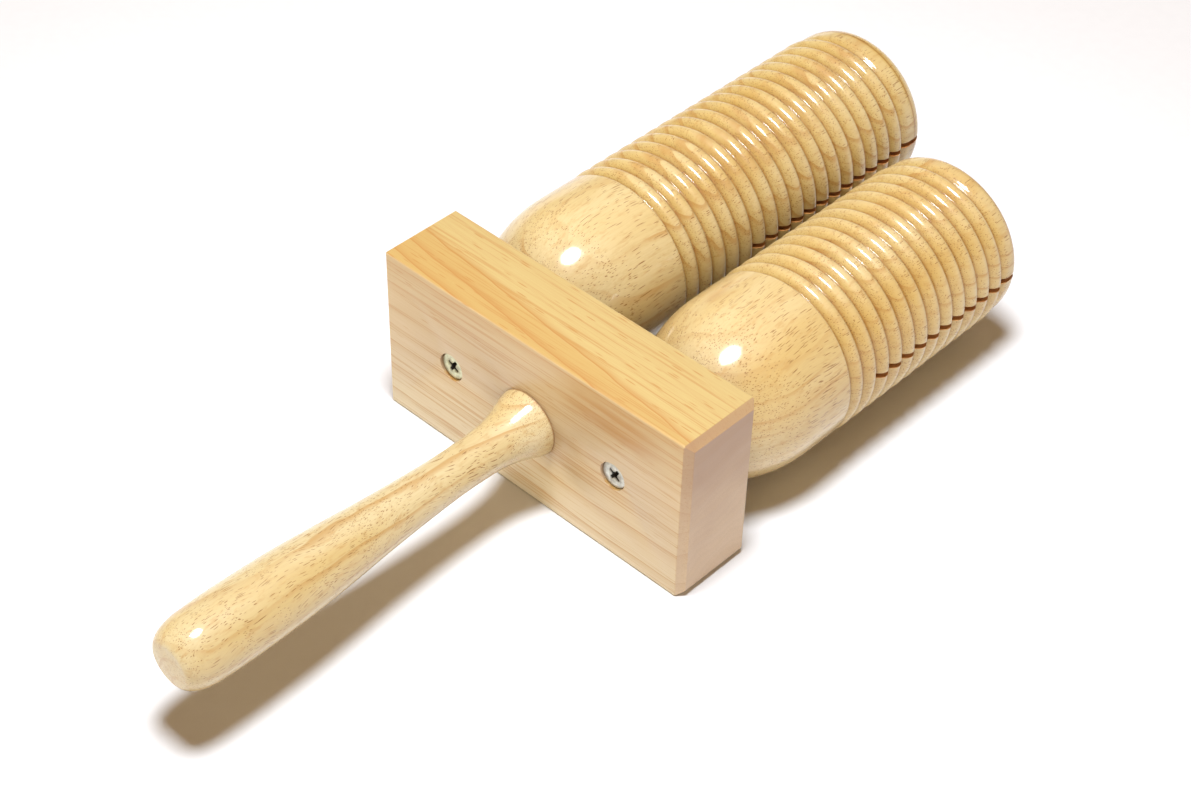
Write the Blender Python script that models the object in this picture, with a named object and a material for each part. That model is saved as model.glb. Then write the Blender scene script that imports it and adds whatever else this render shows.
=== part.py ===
"""Two-tone guiro: two ribbed, slotted wooden barrels on a cross-block with a turned handle.

The origin is on the underside of the block, below its centre. +X runs along the block from the
low barrel to the high barrel, +Y runs out along the barrels, and +Z is up. Lengths are in metres.
"""

import math

import bmesh
import bpy

MM = 0.001
FIT_GAP = 0.3 * MM  # clearance between pieces that touch

# Cross-block
BLOCK_LENGTH = 123 * MM
BLOCK_DEPTH = 29 * MM
BLOCK_HEIGHT = 59 * MM
END_CHAMFER = 2.25 * MM  # around each end-grain face
LONG_CHAMFER = 1.2 * MM  # along the block's four long edges
FRONT = -BLOCK_DEPTH / 2
BACK = BLOCK_DEPTH / 2

# Barrels
BARREL_RADIUS = 28.75 * MM  # at the crest of a bead
BARREL_SPACING = 66 * MM
BARREL_AXIS_Z = 30.5 * MM
SMOOTH_RADIUS = 28.5 * MM
DOME_LENGTH = 30 * MM
DOME_SEMI_AXIS = 37.3 * MM  # the dome is an ellipse whose tip is cut flat against the block
GROOVE_DEPTH = 2.3 * MM
BEAD_STEPS = 4
DOME_STEPS = 7
BEAD_ROUNDNESS = 2.0
RIM_STEPS = 5
LAST_BEAD_DROP = 0.8 * MM  # the last bead is turned a little smaller than the others
BORE_RADIUS = 19 * MM
BORE_LEAD = 1 * MM  # small chamfer at the mouth of the bore
BORE_FLOOR = 27 * MM  # solid wood left between the block and the bore

# smooth: from the block to the first groove, dome included. kerf: heights of its faces above the axis
BARRELS = {
    "low_barrel": {
        "side": -1, "smooth": 46.5 * MM, "pitch": 6.34 * MM, "beads": 17, "last_bead": 11.2 * MM,
        "rim": (6 * MM, 4.4 * MM), "plain_beads": 5, "kerf": (0.0, 1.6 * MM),
        "colour": (0.80, 0.58, 0.30),
    },
    "high_barrel": {
        "side": 1, "smooth": 45.4 * MM, "pitch": 6.25 * MM, "beads": 12, "last_bead": 8.1 * MM,
        "rim": (4 * MM, 3.0 * MM), "plain_beads": 2, "kerf": (-0.8 * MM, 0.8 * MM),
        "colour": (0.82, 0.60, 0.32),
    },
}

# Handle: distance from the block's face and radius, along the turned outline
HANDLE_AXIS_Z = BLOCK_HEIGHT / 2
HANDLE_LENGTH = 132 * MM
HANDLE_OUTLINE = [
    (0, 11.0), (2.5, 10.5), (5.5, 9.5), (9.5, 8.2), (15.5, 7.15), (24, 6.8), (33.5, 6.85), (45.5, 7.4),
    (60, 8.3), (75, 9.55), (90, 10.6), (104.5, 11.05), (114.5, 11.15), (121.5, 10.95),
]
HANDLE_END_RADIUS = 6.2 * MM  # flat spot where the blank was parted off
HANDLE_END_STEPS = 6
TENON_RADIUS = 8 * MM
TENON_LENGTH = 10 * MM

# Countersunk cross-head wood screws
HEAD_RADIUS = 4.4 * MM
HEAD_CONE = 2.6 * MM
HEAD_EDGE = 0.4 * MM
SHANK_RADIUS = 2.1 * MM
TIP_LENGTH = 5 * MM
BARREL_SCREW_LENGTH = 45 * MM
BARREL_SCREW_SINK = 0.8 * MM  # depth of the head below the block's front face
HANDLE_SCREW_LENGTH = 40 * MM
HANDLE_SCREW_SINK = 1.5 * MM
RECESS_SPAN = 5 * MM
RECESS_WIDTH = 1.1 * MM
RECESS_DEPTH = 1.8 * MM
RECESS_TAPER = 0.45  # size of the recess floor relative to its mouth
SCREW_DRIFT = 0.8 * MM  # both barrel screws were driven this far towards +X of the barrel's axis
SCREWS = {
    "barrel_screw_left": {"side": -1, "turn": -30},
    "barrel_screw_right": {"side": 1, "turn": -36},
}

BARREL_SEGMENTS = 32
HANDLE_SEGMENTS = 32
SCREW_SEGMENTS = 20
CUTTER_SEGMENTS = 20
CUT_OVERRUN = 1 * MM
SHARP_ANGLE = math.radians(40)

PINE = (0.84, 0.64, 0.40)
HANDLE_COLOUR = (0.84, 0.62, 0.34)
STEEL = (0.62, 0.60, 0.55)


def clear_scene():
    for old in list(bpy.data.objects):
        bpy.data.objects.remove(old, do_unlink=True)


def material(name, colour, roughness, metallic=0.0):
    made = bpy.data.materials.new(name)
    made.use_nodes = True
    shader = made.node_tree.nodes["Principled BSDF"]
    shader.inputs["Base Color"].default_value = (*colour, 1.0)
    shader.inputs["Roughness"].default_value = roughness
    shader.inputs["Metallic"].default_value = metallic
    return made


def add_object(name, bm, finish=None, parent=None):
    """Turns a bmesh into an object with its faces pointing out."""
    bmesh.ops.recalc_face_normals(bm, faces=bm.faces)
    mesh = bpy.data.meshes.new(name)
    bm.to_mesh(mesh)
    bm.free()
    made = bpy.data.objects.new(name, mesh)
    bpy.context.scene.collection.objects.link(made)
    if finish:
        mesh.materials.append(finish)
        mesh.shade_smooth()
        mesh.set_sharp_from_angle(angle=SHARP_ANGLE)
    made.parent = parent
    return made


def turned(outline, segments):
    """A solid of revolution about the Y axis, from (y, radius) points; both end points are on the axis."""
    bm = bmesh.new()
    rings = []
    for y, radius in outline:
        if radius == 0:
            rings.append([bm.verts.new((0, y, 0))])
            continue
        angles = (2 * math.pi * (k + 0.5) / segments for k in range(segments))
        rings.append([bm.verts.new((radius * math.cos(a), y, radius * math.sin(a))) for a in angles])
    for ring, following in zip(rings, rings[1:]):
        for k in range(segments):
            after = (k + 1) % segments
            if len(ring) == 1:
                bm.faces.new((ring[0], following[k], following[after]))
            elif len(following) == 1:
                bm.faces.new((ring[k], ring[after], following[0]))
            else:
                bm.faces.new((ring[k], ring[after], following[after], following[k]))
    return bm


def box(low, high):
    bm = bmesh.new()
    bmesh.ops.create_cube(bm, size=1)
    for vert in bm.verts:
        for axis in range(3):
            vert.co[axis] = low[axis] if vert.co[axis] < 0 else high[axis]
    return bm


def cut(target, cutter):
    """Takes the cutter's shape out of the target with a Boolean modifier."""
    cutter.hide_render = True
    cutter.display_type = "WIRE"
    cutter.parent = target.parent
    modifier = target.modifiers.new(cutter.name, "BOOLEAN")
    modifier.operation = "DIFFERENCE"
    modifier.solver = "EXACT"
    modifier.object = cutter


def screw_outline(length, grow=0.0):
    """A screw's outline from its head face at y = 0; grow makes the hole that clears it."""
    slope = (HEAD_RADIUS - SHANK_RADIUS) / HEAD_CONE
    head, shank = HEAD_RADIUS + grow, SHANK_RADIUS + grow
    cone_start = HEAD_EDGE + (grow and FIT_GAP)
    cone_end = cone_start + (head - shank) / slope
    points = [(0, 0), (0, head), (cone_start, head), (cone_end, shank)]
    if grow:
        return points + [(length, shank), (length, 0)]
    return points + [(length - TIP_LENGTH, shank), (length, 0)]


def cross_recess(name, turn):
    """The cutter of a cross-head recess: two tapered bars, joined into one body."""
    bars = []
    low = (-RECESS_SPAN / 2, -CUT_OVERRUN, -RECESS_WIDTH / 2)
    high = (RECESS_SPAN / 2, RECESS_DEPTH, RECESS_WIDTH / 2)
    for index, quarter in enumerate((0, 90)):
        bar = box(low, high)
        for vert in bar.verts:
            if vert.co.y > 0:
                vert.co.x *= RECESS_TAPER
        made = add_object(f"{name}_bar_{index}", bar)
        made.rotation_euler.y = -math.radians(turn + quarter)
        bars.append(made)
    union = bars[0].modifiers.new("other_bar", "BOOLEAN")
    union.operation = "UNION"
    union.solver = "EXACT"
    union.object = bars[1]
    for bar in bars:
        bar.hide_render = True
        bar.display_type = "WIRE"
    return bars


def make_axis(name, location):
    """An empty that a piece is placed by."""
    axis = bpy.data.objects.new(name, None)
    bpy.context.scene.collection.objects.link(axis)
    axis.location = location
    return axis


def screw_head_place(side):
    x = side * BARREL_SPACING / 2 + SCREW_DRIFT
    return (x, FRONT + BARREL_SCREW_SINK, BARREL_AXIS_Z)


def make_screw(name, location, length, turn, facing_back, steel):
    """A screw whose head face is at location, pointing along +Y, or along -Y if facing_back."""
    place = make_axis(f"{name}_place", location)
    place.rotation_euler.z = math.pi if facing_back else 0
    screw = add_object(name, turned(screw_outline(length), SCREW_SEGMENTS), steel, place)
    bars = cross_recess(f"{name}_recess", turn)
    cut(screw, bars[0])
    bars[1].parent = place


def barrel_outline(spec):
    """(y, radius) points of a barrel: seat, dome, smooth zone, beads, rim, and back down the bore."""
    start = BACK + FIT_GAP
    dome_end = start + DOME_LENGTH
    points = [(start, 0)]
    for step in range(DOME_STEPS + 1):
        y = dome_end - DOME_LENGTH * math.cos(step / DOME_STEPS * math.pi / 2)
        reach = (dome_end - y) / DOME_SEMI_AXIS
        points.append((y, SMOOTH_RADIUS * math.sqrt(1 - reach * reach)))
    first_groove = BACK + spec["smooth"]
    groove_radius = BARREL_RADIUS - GROOVE_DEPTH
    for along, fall in ((0.3, 0.0), (0.15, 0.25)):
        points.append((first_groove - along * spec["pitch"], SMOOTH_RADIUS - fall * GROOVE_DEPTH))
    for bead in range(spec["beads"]):
        for step in range(BEAD_STEPS):
            across = step / BEAD_STEPS
            rise = 1 - abs(2 * across - 1) ** BEAD_ROUNDNESS
            y = first_groove + (bead + across) * spec["pitch"]
            points.append((y, groove_radius + GROOVE_DEPTH * rise))
    last_groove = first_groove + spec["beads"] * spec["pitch"]
    end = last_groove + spec["last_bead"]
    rim_along, rim_across = spec["rim"]
    crest = BARREL_RADIUS - LAST_BEAD_DROP
    points += [(last_groove, groove_radius), (last_groove + spec["pitch"] / 4, crest - GROOVE_DEPTH / 6)]
    for step in range(RIM_STEPS + 1):
        angle = step / RIM_STEPS * math.pi / 2
        y = end - rim_along * (1 - math.sin(angle))
        points.append((y, crest - rim_across * (1 - math.cos(angle))))
    bore_end = BACK + BORE_FLOOR
    points += [(end, BORE_RADIUS + BORE_LEAD), (end - BORE_LEAD, BORE_RADIUS)]
    return points + [(bore_end, BORE_RADIUS), (bore_end, 0)]


def make_barrel(name, spec):
    """A domed, beaded, bored barrel with a saw kerf through both of its walls."""
    axis = make_axis(f"{name}_axis", (spec["side"] * BARREL_SPACING / 2, 0, BARREL_AXIS_Z))
    finish = material(f"{name}_wood", spec["colour"], 0.3)
    outline = barrel_outline(spec)
    barrel = add_object(name, turned(outline, BARREL_SEGMENTS), finish, axis)
    kerf_start = BACK + spec["smooth"] + spec["plain_beads"] * spec["pitch"]
    kerf_end = max(y for y, radius in outline) + CUT_OVERRUN
    half_span = BARREL_RADIUS + CUT_OVERRUN
    low = (-half_span, kerf_start, spec["kerf"][0])
    high = (half_span, kerf_end, spec["kerf"][1])
    cut(barrel, add_object(f"{name}_kerf", box(low, high)))
    depth = BARREL_SCREW_LENGTH + BARREL_SCREW_SINK - BLOCK_DEPTH + FIT_GAP
    pilot_radius = SHANK_RADIUS + FIT_GAP
    pilot = [(0, 0), (0, pilot_radius), (BACK + depth, pilot_radius), (BACK + depth, 0)]
    cutter = add_object(f"{name}_pilot", turned(pilot, CUTTER_SEGMENTS))
    cutter.location.x = SCREW_DRIFT
    cut(barrel, cutter)


def handle_outline():
    """(y, radius) points of the handle from the end of its tenon to its rounded butt."""
    tenon_end = FRONT + TENON_LENGTH
    face = FRONT - FIT_GAP
    points = [(tenon_end, 0), (tenon_end, TENON_RADIUS), (face, TENON_RADIUS)]
    points += [(face - along * MM, radius * MM) for along, radius in HANDLE_OUTLINE]
    last_along, last_radius = (value * MM for value in HANDLE_OUTLINE[-1])
    butt = HANDLE_LENGTH - last_along
    for step in range(1, HANDLE_END_STEPS + 1):
        angle = step / HANDLE_END_STEPS * math.pi / 2
        fall = (last_radius - HANDLE_END_RADIUS) * (1 - math.cos(angle))
        points.append((face - last_along - butt * math.sin(angle), last_radius - fall))
    return points + [(face - HANDLE_LENGTH, 0)]


def make_handle():
    axis = make_axis("handle_axis", (0, 0, HANDLE_AXIS_Z))
    finish = material("handle_wood", HANDLE_COLOUR, 0.3)
    handle = add_object("handle", turned(handle_outline(), HANDLE_SEGMENTS), finish, axis)
    depth = HANDLE_SCREW_LENGTH + HANDLE_SCREW_SINK + FIT_GAP
    pilot_radius = SHANK_RADIUS + FIT_GAP
    pilot = [(BACK, 0), (BACK, pilot_radius), (BACK - depth, pilot_radius), (BACK - depth, 0)]
    cut(handle, add_object("handle_pilot", turned(pilot, CUTTER_SEGMENTS)))


def chamfer(bm, edges, width):
    bmesh.ops.bevel(bm, geom=edges, offset=width, segments=1, affect="EDGES")


def edge_run(edge):
    """How far an edge runs along X."""
    return abs(edge.verts[0].co.x - edge.verts[1].co.x)


def clearance_cutter(name, length, sink):
    """The cutter of a countersunk clearance hole, whose mouth runs out past the block's face."""
    hole = screw_outline(length, FIT_GAP)
    head = hole[1][1]
    mouth = -sink - CUT_OVERRUN
    return add_object(name, turned([(mouth, 0), (mouth, head)] + hole[2:], CUTTER_SEGMENTS))


def make_block():
    """The pine cross-block: chamfered, and drilled for its three screws and the handle's tenon."""
    body = box((-BLOCK_LENGTH / 2, FRONT, 0), (BLOCK_LENGTH / 2, BACK, BLOCK_HEIGHT))
    chamfer(body, [e for e in body.edges if edge_run(e) < MM], END_CHAMFER)
    chamfer(body, [e for e in body.edges if edge_run(e) > BLOCK_LENGTH / 2], LONG_CHAMFER)
    block = add_object("mounting_block", body, material("block_pine", PINE, 0.45))
    for name, spec in SCREWS.items():
        cutter = clearance_cutter(f"{name}_hole", BLOCK_DEPTH + CUT_OVERRUN, BARREL_SCREW_SINK)
        cutter.location = screw_head_place(spec["side"])
        cut(block, cutter)
    socket_radius = TENON_RADIUS + FIT_GAP
    floor = TENON_LENGTH + FIT_GAP
    socket = [(-CUT_OVERRUN, 0), (-CUT_OVERRUN, socket_radius), (floor, socket_radius), (floor, 0)]
    cutter = add_object("tenon_socket", turned(socket, CUTTER_SEGMENTS))
    cutter.location = (0, FRONT, HANDLE_AXIS_Z)
    cut(block, cutter)
    cutter = clearance_cutter("handle_screw_hole", BLOCK_DEPTH - TENON_LENGTH, HANDLE_SCREW_SINK)
    cutter.location = (0, BACK - HANDLE_SCREW_SINK, HANDLE_AXIS_Z)
    cutter.rotation_euler.z = math.pi
    cut(block, cutter)


def main():
    clear_scene()
    steel = material("plated_steel", STEEL, 0.3, metallic=1.0)
    make_block()
    make_handle()
    for name, spec in BARRELS.items():
        make_barrel(name, spec)
    for name, spec in SCREWS.items():
        place = screw_head_place(spec["side"])
        make_screw(name, place, BARREL_SCREW_LENGTH, spec["turn"], False, steel)
    location = (0, BACK - HANDLE_SCREW_SINK, HANDLE_AXIS_Z)
    make_screw("handle_screw", location, HANDLE_SCREW_LENGTH, 20, True, steel)


main()
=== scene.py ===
"""Looks of a two-tone wooden guiro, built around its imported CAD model.

Lengths are in millimetres, and meshes are turned into metres as they are made.
"""

import math

import bmesh
import bpy
from mathutils import Matrix, Vector


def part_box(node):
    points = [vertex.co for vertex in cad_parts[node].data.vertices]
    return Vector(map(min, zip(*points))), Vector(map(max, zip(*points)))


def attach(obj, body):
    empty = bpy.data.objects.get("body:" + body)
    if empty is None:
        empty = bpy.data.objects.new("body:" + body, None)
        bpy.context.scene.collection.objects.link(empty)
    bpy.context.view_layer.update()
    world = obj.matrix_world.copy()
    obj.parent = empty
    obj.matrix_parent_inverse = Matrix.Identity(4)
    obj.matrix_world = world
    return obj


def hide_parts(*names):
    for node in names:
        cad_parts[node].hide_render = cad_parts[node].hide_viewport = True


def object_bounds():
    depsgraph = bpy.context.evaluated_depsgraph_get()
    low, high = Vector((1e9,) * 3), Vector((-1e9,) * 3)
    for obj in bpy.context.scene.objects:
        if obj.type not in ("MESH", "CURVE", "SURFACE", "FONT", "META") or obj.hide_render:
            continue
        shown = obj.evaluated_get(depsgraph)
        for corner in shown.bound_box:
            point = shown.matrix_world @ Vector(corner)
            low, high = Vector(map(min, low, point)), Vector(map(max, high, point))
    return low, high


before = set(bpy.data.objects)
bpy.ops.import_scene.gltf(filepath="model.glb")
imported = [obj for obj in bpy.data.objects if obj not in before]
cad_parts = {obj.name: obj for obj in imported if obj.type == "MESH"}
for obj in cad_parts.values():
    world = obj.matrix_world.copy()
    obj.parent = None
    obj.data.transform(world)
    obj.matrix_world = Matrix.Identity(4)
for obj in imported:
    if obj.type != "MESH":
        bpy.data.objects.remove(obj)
cad_low, cad_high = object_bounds()

MM = 0.001

# Places from the CAD, in metres
block_low, block_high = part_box("mounting_block")
BLOCK_CENTRE = (block_low + block_high) / 2
FRONT, BACK = block_low.y, block_high.y

BARREL_SCREWS = {"low_barrel": "barrel_screw_left", "high_barrel": "barrel_screw_right"}
FIT_GAP = 0.3  # between a screw or tenon and the wood around it

# Barrels
BARREL_RADIUS = 28.75  # at the crest of a bead
SMOOTH_RADIUS = 28.5
DOME_LENGTH, DOME_SEMI_AXIS, DOME_STEPS = 30, 37.3, 48
GROOVE_DEPTH, GROOVE_FILLET = 2.3, 0.45
BEAD_STEPS = 20
LAST_BEAD_DROP = 0.8
SHOULDER = 0.35  # of a pitch, where the smooth zone falls into its first groove
SHOULDER_CURVE = 0.8  # the lower, the later it falls
RIM_STEPS = 18
LEAST_STEP = 0.02  # between the rim's rings, so that none lies inside the last bead
BORE_RADIUS, BORE_LEAD, BORE_FLOOR = 19, 1, 27
BORE_LEAD_STEPS = 5
BORE_FILLET = ((1.5, 0), (0.4, 0.4), (0, 1.5))  # up from the bore's floor, and in from its wall
BORE_RINGS = 12, 6  # extra rings of the bore, from its open end and from the slot's start
HALF_SEGMENTS = 110  # around the barrel, from one side of the slot to the other
SLOT_INNER_RADIUS = 15  # inside this the slot's edges run along radii

# smooth: from the block to the first groove. rim: how far its rounding reaches along and across.
# plain_beads: those before the slot. kerf: heights of the slot's faces above the barrel's axis
BARRELS = {
    "low_barrel": {
        "smooth": 46.5, "pitch": 6.34, "beads": 17, "last_bead": 11.2, "rim": (6, 4.4),
        "plain_beads": 5, "kerf": (-0.2, 1.6),
    },
    "high_barrel": {
        "smooth": 45.4, "pitch": 6.25, "beads": 12, "last_bead": 8.1, "rim": (4, 3.0),
        "plain_beads": 2, "kerf": (-1.0, 0.8),
    },
}

# Handle: distance from the block's face and radius, along the turned outline
HANDLE_OUTLINE = [
    (0, 11.0), (2.5, 10.5), (5.5, 9.5), (9.5, 8.2), (15.5, 7.15), (24, 6.8), (33.5, 6.85),
    (45.5, 7.4), (60, 8.3), (75, 9.55), (90, 10.6), (104.5, 11.05), (114.5, 11.15), (121.5, 10.95),
]
HANDLE_SEAT_GAP = 0.05  # between its collar and the block
HANDLE_CURVE_STEPS = 8
HANDLE_END_RADIUS = 6.2  # flat spot where the blank was parted off
HANDLE_END_STEPS = 16
TENON_RADIUS = 8

# Screws; turn is the angle of the cross recess
HEAD_RADIUS, HEAD_CONE, HEAD_EDGE, HEAD_FLAT = 4.4, 2.6, 0.35, 3.3
HEAD_EASE = ((0, 0.28), (0.08, 0.08), (0.25, 0))  # its rounding: down the edge, and in from it
SHANK_RADIUS, TIP_LENGTH = 2.1, 5
ARM_HALF_WIDTH, ARM_REACH, RECESS_DEPTH = 0.62, 2.55, 2.1
SCREW_TURNS = {"barrel_screw_left": -30, "barrel_screw_right": -36, "handle_screw": 20}
PILOT_OVERRUN = 0.6  # pilot hole beyond a screw's tip

# Block
END_CHAMFER, LONG_EASE, EDGE_WEAR = 2.25, 0.7, 0.18
WEAR_ANGLE = math.radians(28)
CUT_OVERRUN = 1

TURNED_SEGMENTS, HANDLE_SEGMENTS, SOCKET_SEGMENTS, PILOT_SEGMENTS = 96, 160, 64, 24
SHARP_ANGLE = math.radians(35)


# ---------------------------------------------------------------- camera

CAMERA_AZIMUTH, CAMERA_ELEVATION, CAMERA_ROLL = (math.radians(a) for a in (42.496, 42.157, 1.662))
CAMERA_DISTANCE_M = 0.6866
CAMERA_LENS, CAMERA_SENSOR = 70.40, 36
AIM_RIGHT_M, AIM_UP_M = -0.00973, -0.00037  # where the block's centre lies from the camera's axis


def make_camera():
    a, e, r = CAMERA_AZIMUTH, CAMERA_ELEVATION, CAMERA_ROLL
    back = Vector((math.sin(a) * math.cos(e), -math.cos(a) * math.cos(e), math.sin(e)))
    right = (-back).cross(Vector((0, 0, 1))).normalized()
    up = right.cross(-back)
    x_axis = math.cos(r) * right + math.sin(r) * up
    y_axis = math.cos(r) * up - math.sin(r) * right
    data = bpy.data.cameras.new("camera")
    data.lens, data.sensor_width = CAMERA_LENS, CAMERA_SENSOR
    data.clip_start, data.clip_end = 0.01, 20
    camera = bpy.data.objects.new("camera", data)
    bpy.context.scene.collection.objects.link(camera)
    place = BLOCK_CENTRE + back * CAMERA_DISTANCE_M - x_axis * AIM_RIGHT_M - y_axis * AIM_UP_M
    turn = Matrix((x_axis, y_axis, back)).transposed().to_4x4()
    camera.matrix_world = Matrix.Translation(place) @ turn
    bpy.context.scene.camera = camera


# ---------------------------------------------------------------- node helpers


class Nodes:
    """A material under construction. Its inputs are numbers, tuples or other nodes' outputs."""

    def __init__(self, name):
        self.material = bpy.data.materials.new(name)
        self.material.use_nodes = True
        self.tree = self.material.node_tree
        self.shader = self.tree.nodes["Principled BSDF"]

    def set(self, socket, value):
        if isinstance(value, bpy.types.NodeSocket):
            self.tree.links.new(value, socket)
        elif getattr(socket, "type", "") == "RGBA" and len(value) == 3:
            socket.default_value = (*value, 1.0)
        else:
            socket.default_value = value

    def add(self, kind, inputs=(), **settings):
        node = self.tree.nodes.new("ShaderNode" + kind)
        for key, value in settings.items():
            setattr(node, key, value)
        pairs = inputs.items() if isinstance(inputs, dict) else enumerate(inputs)
        for key, value in pairs:
            if value is not None:
                self.set(node.inputs[key], value)
        return node

    def math(self, operation, *values, clamp=False):
        return self.add("Math", values, operation=operation, use_clamp=clamp).outputs[0]

    def vector(self, operation, *values):
        made = self.add("VectorMath", values, operation=operation)
        return made.outputs["Value" if operation in ("LENGTH", "DOT_PRODUCT") else "Vector"]

    def hypot(self, a, b):
        squares = [self.math("MULTIPLY", value, value) for value in (a, b)]
        return self.math("SQRT", self.math("ADD", *squares))

    def scaled(self, vector, x, y, z):
        return self.vector("MULTIPLY", vector, (x, y, z))

    def noise(self, where, frequency, detail=2.0, roughness=0.5, kind="Fac"):
        """Soft noise; frequency is in features per millimetre along x, y and z."""
        vector = self.scaled(where, *frequency)
        inputs = {"Vector": vector, "Scale": 1.0, "Detail": detail, "Roughness": roughness}
        return self.add("TexNoise", inputs).outputs[kind]

    def ramp(self, value, low, high, to_low=0.0, to_high=1.0, smooth=True):
        """value, mapped from low..high to to_low..to_high and held there."""
        kind = "SMOOTHSTEP" if smooth else "LINEAR"
        inputs = [value, low, high, to_low, to_high]
        return self.add("MapRange", inputs, interpolation_type=kind, clamp=True).outputs[0]

    def mix(self, factor, a, b, blend="MIX"):
        made = self.add("Mix", data_type="RGBA", blend_type=blend)
        for socket, value in zip((made.inputs[0], made.inputs[6], made.inputs[7]), (factor, a, b)):
            self.set(socket, value)
        return made.outputs[2]

    def position(self, offset=(0, 0, 0)):
        """Object coordinates in millimetres, shifted so that two pieces of one wood differ."""
        where = self.add("TexCoord").outputs["Object"]
        return self.vector("ADD", self.scaled(where, 1000, 1000, 1000), offset)

    def axes(self, vector):
        return self.add("SeparateXYZ", [vector]).outputs

    def bump(self, height, strength, distance):
        inputs = {"Height": height, "Strength": strength, "Distance": distance * MM}
        return self.add("Bump", inputs).outputs[0]

    def finish(
        self, colour, roughness, normal=None, coat=0.0, coat_roughness=0.1, coat_normal=None
    ):
        self.set(self.shader.inputs["Base Color"], colour)
        self.set(self.shader.inputs["Roughness"], roughness)
        if normal is not None:
            self.set(self.shader.inputs["Normal"], normal)
        if coat_normal is not None:
            self.set(self.shader.inputs["Coat Normal"], coat_normal)
        self.shader.inputs["Coat Weight"].default_value = coat
        self.shader.inputs["Coat Roughness"].default_value = coat_roughness
        return self.material


# ---------------------------------------------------------------- rubberwood

PALE = (0.57, 0.43, 0.235)
GOLD = (0.52, 0.35, 0.14)
ORANGE = (0.43, 0.23, 0.07)
TAN = (0.46, 0.31, 0.14)
PORE = (0.22, 0.09, 0.018)
GROOVE_GRAIN_AND_PAINTED_SHADE = (0.85, 0.76, 0.48)
GROOVE_LINE_PAINTED_SHADE = (0.70, 0.55, 0.40)
BORE_PAINTED_SHADE = (0.80, 0.62, 0.45)
SLOT_PAINTED_SHADE = (0.95, 0.60, 0.42)

RUBBERWOOD_RING = 5.2  # between growth lines
RUBBERWOOD_WANDER = 14.0  # how far a growth line strays from its circle
SHORT_PORES = (0.42, 6.5, 0.34)  # cell across and along the grain, and the pore's share of it
LONG_PORES = (0.6, 24.0, 0.27)
LONG_PORES_SHARE = 0.8  # of the number of short ones
LONG_PORES_SHIFT = (31, 17, 5)
BEND_FREQUENCY = (0.035, 0.03, 0.035)
LACQUER = {"coat": 1.0, "coat_roughness": 0.13}


def pores(n, where, fine, shape, keep):
    """Open vessels: short dashes along the grain (Y), dots where it is cut across. 1 inside one."""
    across, along, size = fine * shape[0], fine * shape[1], shape[2]
    vector = n.scaled(where, 1 / across, 1 / along, 1 / across)
    cells = n.add("TexVoronoi", {"Vector": vector, "Scale": 1.0})
    tint = n.axes(cells.outputs["Color"])
    reach = n.math("MULTIPLY", n.ramp(tint[0], 0, 1, 0.55, 1.0, smooth=False), size)
    inside = n.math("SUBTRACT", 1.0, n.math("DIVIDE", cells.outputs["Distance"], reach), clamp=True)
    gather = n.ramp(n.noise(where, (0.09, 0.03, 0.09)), 0.35, 0.60, 0.4 * keep, 1.6 * keep)
    chosen = n.math("LESS_THAN", tint[1], gather)
    return n.math("MULTIPLY", n.ramp(inside, 0, 0.4), chosen)


def growth_lines(n, where, x, y, z, pith):
    """Lines around a pith at (x, z) from the piece's axis, leaning by its last two numbers."""
    wander = n.noise(where, (0.03, 0.009, 0.03), detail=3.0)
    off_x = n.math("SUBTRACT", n.math("SUBTRACT", x, pith[0]), n.math("MULTIPLY", y, pith[2]))
    off_z = n.math("SUBTRACT", n.math("SUBTRACT", z, pith[1]), n.math("MULTIPLY", y, pith[3]))
    stray = n.math("MULTIPLY", n.math("SUBTRACT", wander, 0.5), RUBBERWOOD_WANDER)
    distance = n.math("ADD", n.hypot(off_x, off_z), stray)
    ring = n.math("FRACT", n.math("DIVIDE", distance, RUBBERWOOD_RING))
    return n.math("MULTIPLY", n.ramp(ring, 0.72, 0.95), n.ramp(ring, 1.0, 0.97))


def paint_barrel_shade(n, colour, x, y, z, spec):
    """Painted shade in grooves, bore and sawn slot; the groove flanks are partly darker cut grain.
    """
    radius = n.hypot(x, z)
    bead = n.math("DIVIDE", n.math("SUBTRACT", y, BACK / MM + spec["smooth"]), spec["pitch"])
    over = n.math("FRACT", bead)
    beaded = n.math("MULTIPLY", n.ramp(bead, -0.3, 0.0), n.ramp(radius, 23, 25))
    # groove flanks: partly the darker cut grain, partly painted shade
    flank = n.math("MAXIMUM", n.ramp(over, 0.55, 0.05), n.ramp(over, 0.75, 1.0))
    groove = n.math("MULTIPLY", n.math("MULTIPLY", flank, beaded), 0.9)
    colour = n.mix(groove, colour, GROOVE_GRAIN_AND_PAINTED_SHADE, blend="MULTIPLY")
    # painted shade: a dark line along each groove's bottom
    line = n.math("MAXIMUM", n.ramp(over, 0.13, 0.0), n.ramp(over, 0.92, 1.0))
    colour = n.mix(n.math("MULTIPLY", line, beaded), colour, GROOVE_LINE_PAINTED_SHADE, blend="MULTIPLY")
    # painted shade inside the bore
    colour = n.mix(n.ramp(radius, 21.5, 19.5), colour, BORE_PAINTED_SHADE, blend="MULTIPLY")
    # painted shade: the sawn slot's walls darkened to a warm brown
    low, high = spec["kerf"]
    off = n.math("ABSOLUTE", n.math("SUBTRACT", z, (low + high) / 2))
    level = n.math("LESS_THAN", off, (high - low) / 2 + 0.03)
    sawn = n.math("MULTIPLY", level, n.math("GREATER_THAN", bead, spec["plain_beads"] - 0.01))
    return n.mix(sawn, colour, SLOT_PAINTED_SHADE, blend="MULTIPLY")


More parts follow.
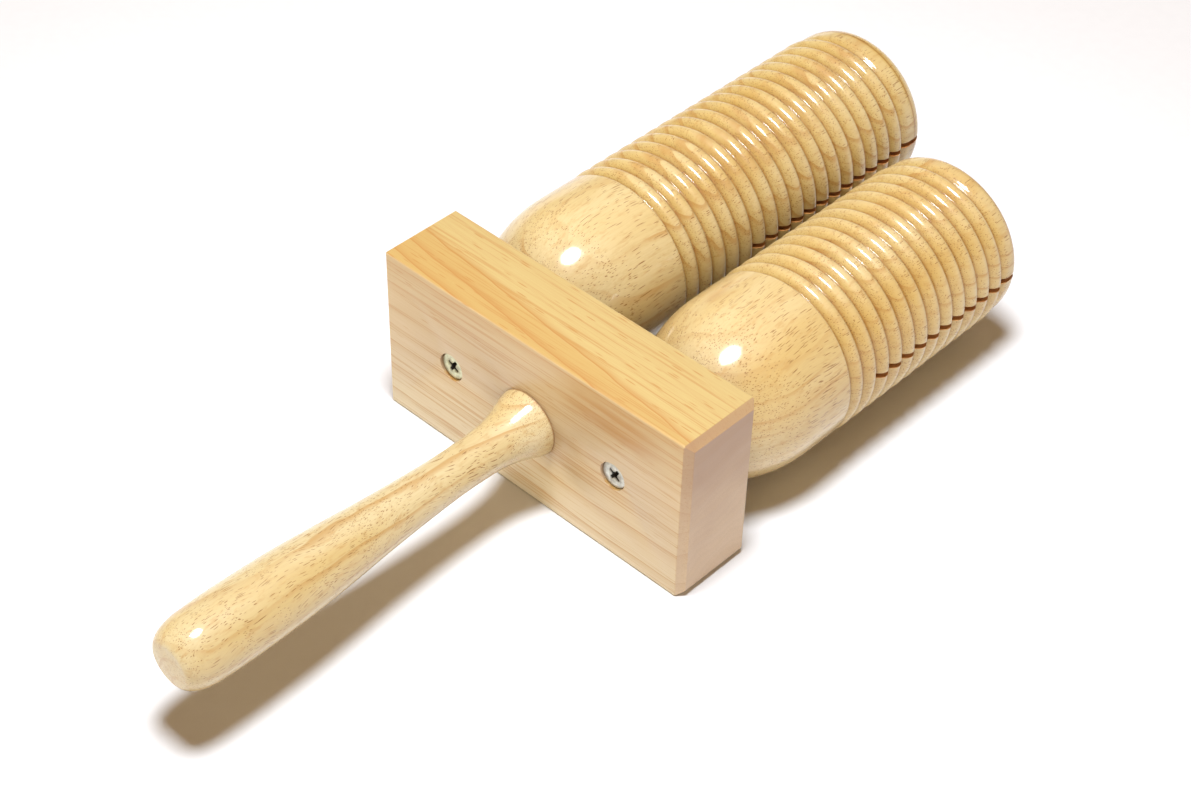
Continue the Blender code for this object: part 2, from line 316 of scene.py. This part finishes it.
def rubberwood(name, offset, pith, tone, spec=None, porous=0.72, curl=3.0, fine=1.0, figure=0.42):
    """Lacquered rubberwood with its grain along Y.

    offset: moves the figure, so that two pieces differ. pith: the tree's centre (x, z) from the
    piece's axis, and its lean. porous: share of cells with a pore. curl: how far the grain bends.
    fine: size of the pores. figure: strength of the flecks. A barrel's spec darkens its grooves,
    partly as cut grain and partly as painted shade, and paints shade into its bore and slot;
    without one, the piece gets a painted contact shadow where it meets the block.
    """
    n = Nodes(name)
    local = n.position()
    x, y, z = n.axes(local)
    where = n.position(offset)
    bend = n.vector("SUBTRACT", n.noise(where, BEND_FREQUENCY, kind="Color"), (0.5, 0.5, 0.5))
    where = n.vector("ADD", where, n.scaled(bend, 2 * curl, 0, 2 * curl))
    cloud = n.noise(where, (0.06, 0.012, 0.06))
    fibre = n.noise(where, (2.2, 0.06, 2.2))
    fleck = n.noise(where, (0.7, 0.16, 0.7), detail=3.0, roughness=0.65)
    patch = n.ramp(n.noise(where, (0.045, 0.02, 0.045), detail=1.0), 0.42, 0.62)
    patch = n.ramp(patch, 0.0, 1.0, 0.25, 0.8)
    colour = n.mix(n.ramp(cloud, 0.3, 0.7), PALE, GOLD)
    colour = n.mix(n.math("MULTIPLY", growth_lines(n, where, x, y, z, pith), patch), colour, ORANGE)
    colour = n.mix(n.ramp(fibre, 0.4, 0.7, 0.0, 0.35), colour, TAN)
    colour = n.mix(n.ramp(fleck, 0.5, 0.72, 0.0, figure), colour, ORANGE)
    short = pores(n, where, fine, SHORT_PORES, porous)
    shifted = n.vector("ADD", where, LONG_PORES_SHIFT)
    long = pores(n, shifted, fine, LONG_PORES, LONG_PORES_SHARE * porous)
    vessel = n.math("MAXIMUM", short, long)
    colour = n.mix(n.math("MULTIPLY", vessel, 0.92), colour, PORE)
    colour = n.mix(1.0, colour, tone, blend="MULTIPLY")
    if spec:
        colour = paint_barrel_shade(n, colour, x, y, z, spec)
    else:
        # painted contact shadow: darker in the last half millimetre next to the block
        colour = n.mix(n.ramp(y, FRONT / MM - 0.7, FRONT / MM - 0.2, 0.0, 0.8), colour, PORE)
    height = n.math("SUBTRACT", n.math("MULTIPLY", fibre, 0.12), vessel)
    gloss = n.ramp(fleck, 0.3, 0.8, 0.55, 0.70)
    film = n.bump(n.noise(local, (1.3, 0.7, 1.3)), 0.20, 0.08)
    return n.finish(colour, gloss, n.bump(height, 0.15, 0.05), coat_normal=film, **LACQUER)


# ---------------------------------------------------------------- pine

PINE_PALE = (0.585, 0.475, 0.285)
PINE_MIDDLE = (0.54, 0.40, 0.225)
PINE_HIGH = (0.475, 0.335, 0.165)
PINE_LATE = (0.40, 0.20, 0.055)
PINE_TOP_FRONT = (0.45, 0.30, 0.105)
PINE_TOP_BACK = (0.485, 0.365, 0.155)
PINE_END_LOW = (0.53, 0.38, 0.24)
PINE_END_HIGH = (0.37, 0.23, 0.138)
PINE_END_LINE = (0.30, 0.20, 0.13)

PITH_Y, PITH_Z, PITH_LEAN = 20.0, -120.0, 0.0126
TOP_RING = 180.74  # from the pith to the growth line that meets the block's top
RING_SPACING = 8.2
TOP_SLANT, TOP_SHIFT, TOP_SPACING = 0.107, 5.1, 6.5  # growth lines on the top face
TOP_WAVER = 4.0
KNOT_Z = 50.0
DUCT_LENGTH, DUCT_WIDTH = 9.0, 0.8


def sawtooth(n, ring, broad_from, broad, line_from, line):
    """Late wood: a tone that deepens over a ring, and the dark line where it ends."""
    band = n.math("MULTIPLY", n.ramp(ring, *broad_from, 0.0, broad[0]), n.ramp(ring, 1.0, broad[1]))
    edge = n.math("MULTIPLY", n.ramp(ring, *line_from, 0.0, line[0]), n.ramp(ring, 1.0, line[1]))
    return n.math("ADD", band, edge)


def pine_growth(n, where, x, y, z):
    """(turns, ring): growth rings counted from the pith, and how far through one a point is."""
    wander = n.noise(where, (0.005, 0.05, 0.05))
    ripple = n.noise(where, (0.05, 0.3, 0.3))
    away = n.math("SUBTRACT", y, PITH_Y)
    down = n.math("SUBTRACT", n.math("SUBTRACT", z, PITH_Z), n.math("MULTIPLY", x, PITH_LEAN))
    drift = n.math("MULTIPLY", n.math("SUBTRACT", wander, 0.5), n.ramp(z, 59.0, 42.0, 0.0, 16.0))
    phase = n.math("ADD", n.math("SUBTRACT", n.hypot(away, down), TOP_RING), drift)
    phase = n.math("ADD", phase, n.math("MULTIPLY", n.math("SUBTRACT", ripple, 0.5), 1.0))
    turns = n.math("DIVIDE", phase, RING_SPACING)
    return turns, n.math("FRACT", turns)


def pine_knot(n, where, x, z):
    """1 in the streak that a hidden knot leaves on the block's front."""
    streak = n.noise(where, (0.035, 0.1, 0.45))
    knot = n.math("MULTIPLY", n.ramp(x, 8.0, 24.0), n.ramp(x, 56.0, 38.0))
    level = n.ramp(n.math("ABSOLUTE", n.math("SUBTRACT", z, KNOT_Z)), 9.0, 2.0)
    return n.math("MULTIPLY", n.math("MULTIPLY", knot, level), n.ramp(streak, 0.3, 0.7, 0.25, 0.9))


def pine_ducts(n, where, z):
    """1 in a resin duct, more of them towards the top."""
    vector = n.scaled(where, 1 / DUCT_LENGTH, 1 / DUCT_WIDTH, 1 / DUCT_WIDTH)
    cells = n.add("TexVoronoi", {"Vector": vector, "Scale": 1.0})
    duct = n.math("LESS_THAN", n.axes(cells.outputs["Color"])[1], 0.35)
    duct = n.math("MULTIPLY", duct, n.ramp(cells.outputs["Distance"], 0.3, 0.15))
    return n.math("MULTIPLY", duct, n.ramp(z, 15.0, 45.0, 0.4, 0.9))


def pine(name):
    """Satin pine sawn with its growth rings nearly flat, grain along X, and its own end grain."""
    n = Nodes(name)
    where = n.position()
    x, y, z = n.axes(where)
    facing = n.axes(n.add("NewGeometry").outputs["Normal"])
    turns, ring = pine_growth(n, where, x, y, z)
    per_ring = n.add("TexWhiteNoise", {"W": n.math("FLOOR", turns)}, noise_dimensions="1D")
    year = per_ring.outputs["Value"]
    late = sawtooth(n, ring, (0.5, 0.97), (0.5, 0.985), (0.93, 0.98), (0.8, 0.99))
    late = n.math("MULTIPLY", late, n.ramp(year, 0.0, 1.0, 0.5, 1.0, smooth=False))
    # on the top face the growth lines run at a small angle to the block's front edge
    waver = n.noise(where, (0.025, 0.01, 0.0), detail=3.0)
    slant = n.math("ADD", n.math("ADD", y, n.math("MULTIPLY", x, TOP_SLANT)), TOP_SHIFT)
    slant = n.math("ADD", slant, n.math("MULTIPLY", n.math("SUBTRACT", waver, 0.5), TOP_WAVER))
    top_ring = n.math("FRACT", n.math("DIVIDE", slant, -TOP_SPACING))
    top_late = sawtooth(n, top_ring, (0.5, 0.96), (0.65, 0.98), (0.90, 0.96), (0.8, 0.98))
    top_late = n.math("MULTIPLY", top_late, n.ramp(slant, 5.0, 3.0, 0.12, 1.0))
    top = n.ramp(facing[2], 0.5, 0.9)
    late = n.math("ADD", late, n.math("MULTIPLY", top, n.math("SUBTRACT", top_late, late)))
    # side grain, paler towards the bottom
    fibre = n.noise(where, (0.05, 2.0, 2.0))
    cloud = n.noise(where, (0.015, 0.05, 0.05))
    height = n.math("ADD", z, n.math("MULTIPLY", n.math("SUBTRACT", cloud, 0.5), 40.0))
    colour = n.mix(n.ramp(height, -2.0, 32.0), PINE_PALE, PINE_MIDDLE)
    colour = n.mix(n.ramp(height, 34.0, 60.0), colour, PINE_HIGH)
    colour = n.mix(pine_knot(n, where, x, z), colour, PINE_LATE)
    top_colour = n.mix(n.ramp(slant, -1.0, 1.5), PINE_TOP_FRONT, PINE_TOP_BACK)
    colour = n.mix(top, colour, top_colour)
    colour = n.mix(n.math("MULTIPLY", late, 0.8), colour, PINE_LATE)
    thread = n.noise(where, (0.02, 1.5, 1.5), detail=3.0, roughness=0.6)
    colour = n.mix(n.ramp(thread, 0.55, 0.62, 0.0, 0.55), colour, PINE_LATE)
    colour = n.mix(n.ramp(fibre, 0.3, 0.7, 0.0, 0.16), colour, PINE_LATE)
    colour = n.mix(pine_ducts(n, where, z), colour, PINE_LATE)
    # end grain
    speck = n.noise(where, (0.5, 4.0, 4.0))
    fine = n.math("FRACT", n.math("MULTIPLY", turns, 3.0))
    end_colour = n.mix(n.ramp(height, 5.0, 60.0), PINE_END_LOW, PINE_END_HIGH)
    end_colour = n.mix(n.ramp(fine, 0.3, 0.9, 0.0, 0.08), end_colour, PINE_END_LINE)
    end_colour = n.mix(n.ramp(speck, 0.4, 0.7, 0.0, 0.25), end_colour, PINE_END_LINE)
    colour = n.mix(n.ramp(n.math("ABSOLUTE", facing[0]), 0.55, 0.8), colour, end_colour)
    relief = n.math("ADD", n.math("MULTIPLY", fibre, 0.3), n.math("MULTIPLY", late, 0.3))
    gloss = n.ramp(ring, 0.0, 1.0, 0.42, 0.34)
    return n.finish(colour, gloss, n.bump(relief, 0.2, 0.06), coat=0.15, coat_roughness=0.25)


# ---------------------------------------------------------------- metal

RECESS_PAINTED_SHADE = (0.03, 0.025, 0.02)
ZINC_SHADE = 0.72  # of its tint, in the darker clouds


def zinc(name, tint):
    """Worn zinc plate, with painted shade at the bottom of the cross recess."""
    n = Nodes(name)
    where = n.position()
    x, y, z = n.axes(where)
    cloud = n.noise(where, (0.7, 0.7, 0.7), detail=3.0)
    scratch = n.noise(where, (5.0, 1.0, 0.8))
    colour = n.mix(n.ramp(cloud, 0.35, 0.65), tint, tuple(ZINC_SHADE * c for c in tint))
    # painted shade: darker deep in the cross recess
    recess_shade = n.math("MULTIPLY", n.ramp(y, 0.1, 0.5), n.ramp(n.hypot(x, z), 3.2, 2.8))
    colour = n.mix(recess_shade, colour, RECESS_PAINTED_SHADE)
    made = n.finish(colour, n.ramp(scratch, 0.3, 0.7, 0.30, 0.40), n.bump(scratch, 0.05, 0.02))
    n.shader.inputs["Metallic"].default_value = 0.6
    return made


# ---------------------------------------------------------------- meshes


def add_object(name, bm, material, place=(0, 0, 0)):
    """An object from a bmesh in millimetres, placed by its own origin in metres."""
    bmesh.ops.recalc_face_normals(bm, faces=bm.faces)
    bmesh.ops.scale(bm, vec=(MM, MM, MM), verts=bm.verts)
    mesh = bpy.data.meshes.new(name)
    bm.to_mesh(mesh)
    bm.free()
    if material:
        mesh.materials.append(material)
    mesh.shade_smooth()
    mesh.set_sharp_from_angle(angle=SHARP_ANGLE)
    made = bpy.data.objects.new(name, mesh)
    bpy.context.scene.collection.objects.link(made)
    made.location = place
    return made


def bridge(bm, ring, following, spans, count):
    """Faces between two rings of count points, either of which may be one point on the axis."""
    for k in spans:
        after = (k + 1) % count
        if len(ring) == 1:
            bm.faces.new((ring[0], following[k], following[after]))
        elif len(following) == 1:
            bm.faces.new((ring[k], ring[after], following[0]))
        else:
            bm.faces.new((ring[k], ring[after], following[after], following[k]))


def turned(outline, segments):
    """A solid of revolution about Y from (y, radius) points; both end points are on the axis."""
    bm = bmesh.new()
    rings = []
    for y, radius in outline:
        if radius == 0:
            rings.append([bm.verts.new((0, y, 0))])
            continue
        turns = [2 * math.pi * k / segments for k in range(segments)]
        rings.append([bm.verts.new((radius * math.cos(t), y, radius * math.sin(t))) for t in turns])
    for ring, following in zip(rings, rings[1:]):
        bridge(bm, ring, following, range(segments), segments)
    return bm


def smooth_outline(points, steps):
    """(along, radius) points joined by a smooth cubic curve, with steps points to each span."""
    count = len(points)
    slopes = []
    for i in range(count):
        a, b = points[max(i - 1, 0)], points[min(i + 1, count - 1)]
        slopes.append((b[1] - a[1]) / (b[0] - a[0]))
    made = []
    for i in range(count - 1):
        (x0, r0), (x1, r1) = points[i], points[i + 1]
        for step in range(steps):
            t = step / steps
            span = x1 - x0
            value = (2 * t**3 - 3 * t**2 + 1) * r0 + (t**3 - 2 * t**2 + t) * span * slopes[i]
            value += (3 * t**2 - 2 * t**3) * r1 + (t**3 - t**2) * span * slopes[i + 1]
            made.append((x0 + t * span, value))
    return made + [points[-1]]


def apply_modifiers(thing):
    """Turns what the modifiers make into the object's own mesh."""
    depsgraph = bpy.context.evaluated_depsgraph_get()
    mesh = bpy.data.meshes.new_from_object(thing.evaluated_get(depsgraph))
    old = thing.data
    thing.modifiers.clear()
    thing.data = mesh
    bpy.data.meshes.remove(old)


def cut(target, cutter):
    """Takes the cutter's volume out of the target, and removes the cutter."""
    modifier = target.modifiers.new("cut", "BOOLEAN")
    modifier.operation, modifier.solver, modifier.object = "DIFFERENCE", "EXACT", cutter
    bpy.context.view_layer.update()
    apply_modifiers(target)
    bpy.data.objects.remove(cutter, do_unlink=True)


# ---------------------------------------------------------------- barrels


def stand_for(piece, node):
    """Puts a piece in the place of a CAD node, on the one body there is."""
    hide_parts(node)
    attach(piece, "root")


def bead_rise(t, pitch):
    """Height above the groove at t of the way over a bead: an arch with filleted feet."""

    def arch(s):
        return GROOVE_DEPTH * (1 - (1 - 2 * s / pitch) ** 2)

    s = min(t, 1 - t) * pitch
    if s >= GROOVE_FILLET:
        return arch(s)
    slope = 4 * GROOVE_DEPTH / pitch * (1 - 2 * GROOVE_FILLET / pitch)
    return arch(GROOVE_FILLET) - slope * (GROOVE_FILLET**2 - s**2) / (2 * GROOVE_FILLET)


def spread(step, steps):
    """0..1, with the steps crowded towards both ends."""
    return 0.5 - 0.5 * math.cos(math.pi * step / steps)


def barrel_outline(spec, start):
    """(y, radius) along the barrel's outside and back down its bore, and the slot's first y."""
    dome_end = start + DOME_LENGTH
    points = [(start, 0)]
    for step in range(DOME_STEPS + 1):
        y = dome_end - DOME_LENGTH * math.cos(step / DOME_STEPS * math.pi / 2)
        points.append((y, SMOOTH_RADIUS * math.sqrt(1 - ((dome_end - y) / DOME_SEMI_AXIS) ** 2)))
    pitch = spec["pitch"]
    first = BACK / MM + spec["smooth"]
    groove_radius = BARREL_RADIUS - GROOVE_DEPTH
    shoulder = SHOULDER * pitch
    points += [(dome_end + 0.33 * k * (first - shoulder - dome_end), SMOOTH_RADIUS) for k in (1, 2)]
    fall = SMOOTH_RADIUS - groove_radius - bead_rise(0, pitch)
    for step in range(BEAD_STEPS // 2):
        t = 1 - 2 * spread(BEAD_STEPS // 2 - step, BEAD_STEPS)
        drop = fall * (1 - (1 - t * t) ** SHOULDER_CURVE)
        points.append((first - shoulder * (1 - t), SMOOTH_RADIUS - drop))
    for bead in range(spec["beads"]):
        for step in range(BEAD_STEPS):
            t = spread(step, BEAD_STEPS)
            points.append((first + (bead + t) * pitch, groove_radius + bead_rise(t, pitch)))
    last = first + spec["beads"] * pitch
    end = last + spec["last_bead"]
    rim_along, rim_across = spec["rim"]
    crest = BARREL_RADIUS - LAST_BEAD_DROP
    for step in range(BEAD_STEPS // 2 + 1):
        t = spread(step, BEAD_STEPS)
        lowered = bead_rise(t, pitch) * (1 - LAST_BEAD_DROP / GROOVE_DEPTH)
        points.append((last + t * pitch, groove_radius + lowered))
    for step in range(RIM_STEPS + 1):
        angle = step / RIM_STEPS * math.pi / 2
        along, across = 1 - math.sin(angle), 1 - math.cos(angle)
        point = (end - rim_along * along, crest - rim_across * across)
        if point[0] > points[-1][0] + LEAST_STEP:
            points.append(point)
    for step in range(1, BORE_LEAD_STEPS + 1):
        angle = step / BORE_LEAD_STEPS * math.pi / 2
        radius = BORE_RADIUS + BORE_LEAD * (1 - math.sin(angle))
        points.append((end - BORE_LEAD * (1 - math.cos(angle)), radius))
    kerf = first + spec["plain_beads"] * pitch
    bore_end = BACK / MM + BORE_FLOOR
    points += [(y, BORE_RADIUS) for y in (end - BORE_RINGS[0], kerf + BORE_RINGS[1], kerf)]
    points += [(bore_end + up, BORE_RADIUS - off) for up, off in BORE_FILLET]
    return points + [(bore_end, 0)], kerf


def split_barrel(outline, kerf, slot):
    """The lathed barrel with a level slot sawn through both walls from y = kerf to its open end."""
    bm = bmesh.new()
    rings = []
    for y, radius in outline:
        if radius == 0:
            rings.append([bm.verts.new((0, y, 0))])
            continue
        low, high = (math.asin(z / max(radius, SLOT_INNER_RADIUS)) for z in slot)
        shares = [k / HALF_SEGMENTS for k in range(HALF_SEGMENTS + 1)]
        turns = [high + (math.pi - 2 * high) * share for share in shares]
        turns += [math.pi - low + (math.pi + 2 * low) * share for share in shares]
        rings.append([bm.verts.new((radius * math.cos(t), y, radius * math.sin(t))) for t in turns])
    count = 2 * (HALF_SEGMENTS + 1)
    slot_spans = (HALF_SEGMENTS, count - 1)
    slit = [i for i, point in enumerate(outline) if point[0] > kerf - 1e-6]
    for i in range(len(rings) - 1):
        open_here = i in slit and i + 1 in slit
        spans = [k for k in range(count) if not (open_here and k in slot_spans)]
        bridge(bm, rings[i], rings[i + 1], spans, count)
    # the slot's four faces, then its ends
    for k in (0, HALF_SEGMENTS, HALF_SEGMENTS + 1, count - 1):
        bm.faces.new([rings[i][k] for i in slit])
    first, last = rings[slit[0]], rings[slit[-1]]
    for a in slot_spans:
        b = (a + 1) % count
        bm.faces.new((first[a], first[b], last[b], last[a]))
    return bm


def pilot_hole(start, tip):
    """The cutter of a screw's pilot hole along Y, from start to a little past the screw's tip."""
    way = 1 if tip > start else -1
    radius = SHANK_RADIUS + FIT_GAP
    neck = tip - way * TIP_LENGTH
    outline = [(start, 0), (start, radius), (neck, radius), (tip + way * PILOT_OVERRUN, 0)]
    return turned(outline, PILOT_SEGMENTS)


def make_barrel(name, material):
    low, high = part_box(name)
    place = Vector(((low.x + high.x) / 2, 0, (low.z + high.z) / 2))
    spec = BARRELS[name]
    outline, kerf = barrel_outline(spec, low.y / MM)
    barrel = add_object(f"{name}_wood", split_barrel(outline, kerf, spec["kerf"]), material, place)
    screw_low, screw_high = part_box(BARREL_SCREWS[name])
    pilot = pilot_hole(0, screw_high.y / MM)
    pilot_place = ((screw_low.x + screw_high.x) / 2, 0, place.z)
    cut(barrel, add_object(f"{name}_pilot", pilot, None, pilot_place))
    stand_for(barrel, name)


# ---------------------------------------------------------------- handle


def make_handle(material):
    low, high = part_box("handle")
    place = Vector((BLOCK_CENTRE.x, 0, BLOCK_CENTRE.z))
    face = FRONT / MM - HANDLE_SEAT_GAP
    length = face - low.y / MM
    outline = [(high.y / MM, 0), (high.y / MM, TENON_RADIUS), (face, TENON_RADIUS)]
    grip = smooth_outline(HANDLE_OUTLINE, HANDLE_CURVE_STEPS)
    outline += [(face - along, radius) for along, radius in grip]
    last_along, last_radius = HANDLE_OUTLINE[-1]
    butt = length - last_along
    for step in range(1, HANDLE_END_STEPS + 1):
        angle = step / HANDLE_END_STEPS * math.pi / 2
        fall = (last_radius - HANDLE_END_RADIUS) * (1 - math.cos(angle))
        outline.append((face - last_along - butt * math.sin(angle), last_radius - fall))
    outline.append((low.y / MM, 0))
    handle = add_object("handle_wood", turned(outline, HANDLE_SEGMENTS), material, place)
    pilot = pilot_hole(BACK / MM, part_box("handle_screw")[0].y / MM)
    cut(handle, add_object("handle_pilot", pilot, None, place))
    stand_for(handle, "handle")


# ---------------------------------------------------------------- screws


def recess(turn):
    """The cutter of a cross-head recess: a four-armed outline that tapers to a small cross."""
    bm = bmesh.new()
    outline = []
    for quarter in range(4):
        spin = math.radians(turn + 90 * quarter)
        ax, az = math.cos(spin), math.sin(spin)
        w, r = ARM_HALF_WIDTH, ARM_REACH
        corner = [(w * 1.35, -w * 1.35), (w * 2.0, -w), (r - 0.25, -w * 0.92), (r, -w * 0.6)]
        corner += [(r, w * 0.6), (r - 0.25, w * 0.92), (w * 2.0, w)]
        outline += [(u * ax - v * az, u * az + v * ax) for u, v in corner]
    levels = [(-1.0, 1.12), (0.0, 1.0), (1.2, 0.62), (RECESS_DEPTH, 0.22)]  # depth, and size there
    rings = [[bm.verts.new((u * k, y, v * k)) for u, v in outline] for y, k in levels]
    count = len(outline)
    for ring, following in zip(rings, rings[1:]):
        bridge(bm, ring, following, range(count), count)
    bm.faces.new(rings[0])
    bm.faces.new(rings[-1])
    return bm


def make_screw(name, material):
    low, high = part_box(name)
    facing_back = name == "handle_screw"
    place = Vector(((low.x + high.x) / 2, high.y if facing_back else low.y, (low.z + high.z) / 2))
    length = (high.y - low.y) / MM
    outline = [(0, 0), (0, HEAD_FLAT)] + [(down, HEAD_RADIUS - off) for down, off in HEAD_EASE]
    outline += [(HEAD_EDGE, HEAD_RADIUS), (HEAD_EDGE + HEAD_CONE, SHANK_RADIUS)]
    outline += [(length - TIP_LENGTH, SHANK_RADIUS), (length, 0)]
    screw = add_object(f"{name}_steel", turned(outline, TURNED_SEGMENTS), material, place)
    if facing_back:
        screw.rotation_euler.z = math.pi
    cutter = add_object(f"{name}_recess", recess(SCREW_TURNS[name]), None, place)
    cutter.rotation_euler.z = screw.rotation_euler.z
    cut(screw, cutter)
    stand_for(screw, name)


# ---------------------------------------------------------------- block

HEAD_GAP, CONE_DROP = 0.28, 0.25  # of a countersink: clearance, and how much deeper its cone starts
THROUGH = 31  # longer than the block is thick
SHORT_EDGE, LONG_EDGE = 1, 60  # an end's edges run less than this along X, the long ones more


def make_countersink(block, name, back):
    """The hole of a screw that enters from the block's back or from its front."""
    low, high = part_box(name)
    sink = ((BACK - high.y) if back else (low.y - FRONT)) / MM
    head, shank = HEAD_RADIUS + HEAD_GAP, SHANK_RADIUS + FIT_GAP
    cone_start = sink + HEAD_EDGE + CONE_DROP
    hole = [(-CUT_OVERRUN, 0), (-CUT_OVERRUN, head), (cone_start, head)]
    hole += [(cone_start + head - shank, shank), (THROUGH, shank), (THROUGH, 0)]
    place = ((low.x + high.x) / 2, BACK if back else FRONT, (low.z + high.z) / 2)
    cutter = add_object("hole", turned(hole, TURNED_SEGMENTS), None, place)
    if back:
        cutter.rotation_euler.z = math.pi
    cut(block, cutter)


def make_block(material):
    low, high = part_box("mounting_block")
    bm = bmesh.new()
    bmesh.ops.create_cube(bm, size=1)
    for vert in bm.verts:
        for axis in range(3):
            vert.co[axis] = (low[axis] if vert.co[axis] < 0 else high[axis]) / MM

    def run(edge):
        return abs(edge.verts[0].co.x - edge.verts[1].co.x)

    ends = [e for e in bm.edges if run(e) < SHORT_EDGE]
    bmesh.ops.bevel(bm, geom=ends, offset=END_CHAMFER, segments=1, affect="EDGES")
    long_edges = [e for e in bm.edges if run(e) > LONG_EDGE]
    bmesh.ops.bevel(bm, geom=long_edges, offset=LONG_EASE, segments=4, profile=0.5, affect="EDGES")
    block = add_object("block_pine", bm, material)
    for name in SCREW_TURNS:
        make_countersink(block, name, name == "handle_screw")
    radius, floor = TENON_RADIUS + FIT_GAP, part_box("handle")[1].y / MM - FRONT / MM + FIT_GAP
    socket = [(-CUT_OVERRUN, 0), (-CUT_OVERRUN, radius), (floor, radius), (floor, 0)]
    place = (BLOCK_CENTRE.x, FRONT, BLOCK_CENTRE.z)
    cut(block, add_object("socket", turned(socket, SOCKET_SEGMENTS), None, place))
    bevel = block.modifiers.new("ease", "BEVEL")
    bevel.width, bevel.segments, bevel.limit_method = EDGE_WEAR * MM, 2, "ANGLE"
    bevel.angle_limit = WEAR_ANGLE
    stand_for(block, "mounting_block")


# ---------------------------------------------------------------- light and floor

# place, aim, diameter, power and colour, in metres and watts. The fills leave the floor out
LIGHTS = {
    "key": ((0.055, -0.075, 0.85), (0, 0, 0.03), 0.24, 9.5, (1.0, 1.03, 1.06)),
    "fill_right": ((0.8, -0.9, 0.36), (0, 0, 0.03), 1.0, 5.7, (1.0, 0.98, 0.92)),
    "fill_left": ((-0.9, -0.8, 0.20), (0, 0, 0.03), 1.0, 10.0, (0.87, 0.97, 1.06)),
    "fill_back": ((-0.4, 1.3, 0.50), (0, 0, 0.03), 1.2, 5.0, (0.80, 0.94, 1.1)),
}
WORLD_LOW, WORLD_HIGH = (0.96, 0.955, 0.94), (0.31, 0.198, 0.102)
HORIZON_BAND = (0.06, 0.14)  # rise per metre of view over which the pale horizon turns into brown
FLOOR_HALF = 9000
FLOOR_PALE, FLOOR_DIM, FLOOR_ROUGHNESS = (0.82, 0.84, 0.88), (0.81, 0.83, 0.87), 0.9
GLOW_REACH, GLOW = (300, 900), 0.85  # how far out the floor starts to glow and is brightest


def make_light(name, place, aim, size, power, colour):
    data = bpy.data.lights.new(name, "AREA")
    data.shape, data.size, data.energy, data.color = "DISK", size, power, colour
    light = bpy.data.objects.new(name, data)
    bpy.context.scene.collection.objects.link(light)
    light.location = place
    light.rotation_mode = "QUATERNION"
    light.rotation_quaternion = (Vector(aim) - Vector(place)).to_track_quat("-Z", "Y")
    light.visible_glossy = name == "key"
    return light


def make_floor():
    bm = bmesh.new()
    corners = [(-FLOOR_HALF, -FLOOR_HALF), (FLOOR_HALF, -FLOOR_HALF)]
    corners += [(FLOOR_HALF, FLOOR_HALF), (-FLOOR_HALF, FLOOR_HALF)]
    bm.faces.new([bm.verts.new((x, y, 0)) for x, y in corners])
    n = Nodes("floor_paper")
    grain = n.noise(n.position(), (0.2, 0.2, 0.2), detail=2.0)
    colour = n.mix(n.ramp(grain, 0.3, 0.7), FLOOR_PALE, FLOOR_DIM)
    # far out, where the key light falls off, the paper glows to stay pale to the horizon
    glow = n.ramp(n.vector("LENGTH", n.position()), *GLOW_REACH, 0.0, GLOW)
    n.set(n.shader.inputs["Emission Color"], (1.0, 1.0, 1.0))
    n.set(n.shader.inputs["Emission Strength"], glow)
    floor = add_object("floor", bm, n.finish(colour, FLOOR_ROUGHNESS), (0, 0, cad_low.z))
    return floor


def make_world():
    world = bpy.data.worlds.new("world")
    world.use_nodes = True
    nodes, links = world.node_tree.nodes, world.node_tree.links
    split = nodes.new("ShaderNodeSeparateXYZ")
    links.new(nodes.new("ShaderNodeTexCoord").outputs["Generated"], split.inputs[0])
    rise = nodes.new("ShaderNodeMapRange")
    for socket, value in zip(rise.inputs, (0.0, *HORIZON_BAND, 0.0, 1.0)):
        socket.default_value = value
    links.new(split.outputs[2], rise.inputs[0])
    blend = nodes.new("ShaderNodeMix")
    blend.data_type = "RGBA"
    links.new(rise.outputs[0], blend.inputs[0])
    blend.inputs[6].default_value = (*WORLD_LOW, 1)
    blend.inputs[7].default_value = (*WORLD_HIGH, 1)
    links.new(blend.outputs[2], nodes["Background"].inputs["Color"])
    bpy.context.scene.world = world


def make_stage():
    floor = make_floor()
    make_world()
    all_but_floor = bpy.data.collections.new("all_but_floor")
    all_but_floor.objects.link(floor)
    all_but_floor.collection_objects[0].light_linking.link_state = "EXCLUDE"
    for name, spec in LIGHTS.items():
        light = make_light(name, *spec)
        if name.startswith("fill"):
            light.light_linking.receiver_collection = all_but_floor
    bpy.context.scene.view_settings.view_transform = "Standard"


make_camera()
make_stage()
make_block(pine("pine"))
make_handle(rubberwood(
    "handle_rubberwood", (7, 300, 40), (9, -14, 0.03, -0.05), (0.97, 1.05, 1.08),
    porous=1.0, curl=7.0, fine=0.85, figure=0.5,
))
for name, offset, pith, tone in (
    ("low_barrel", (0, 0, 0), (-10, -30, 0.02, 0.03), (1.0, 1.04, 0.96)),
    ("high_barrel", (90, 40, 20), (20, -40, 0.0, 0.03), (1.0, 1.03, 0.96)),
):
    make_barrel(name, rubberwood(f"{name}_rubberwood", offset, pith, tone, BARRELS[name]))
make_screw("barrel_screw_left", zinc("zinc_left", (0.64, 0.63, 0.42)))
make_screw("barrel_screw_right", zinc("zinc_right", (0.62, 0.62, 0.56)))
make_screw("handle_screw", zinc("zinc_back", (0.72, 0.71, 0.64)))
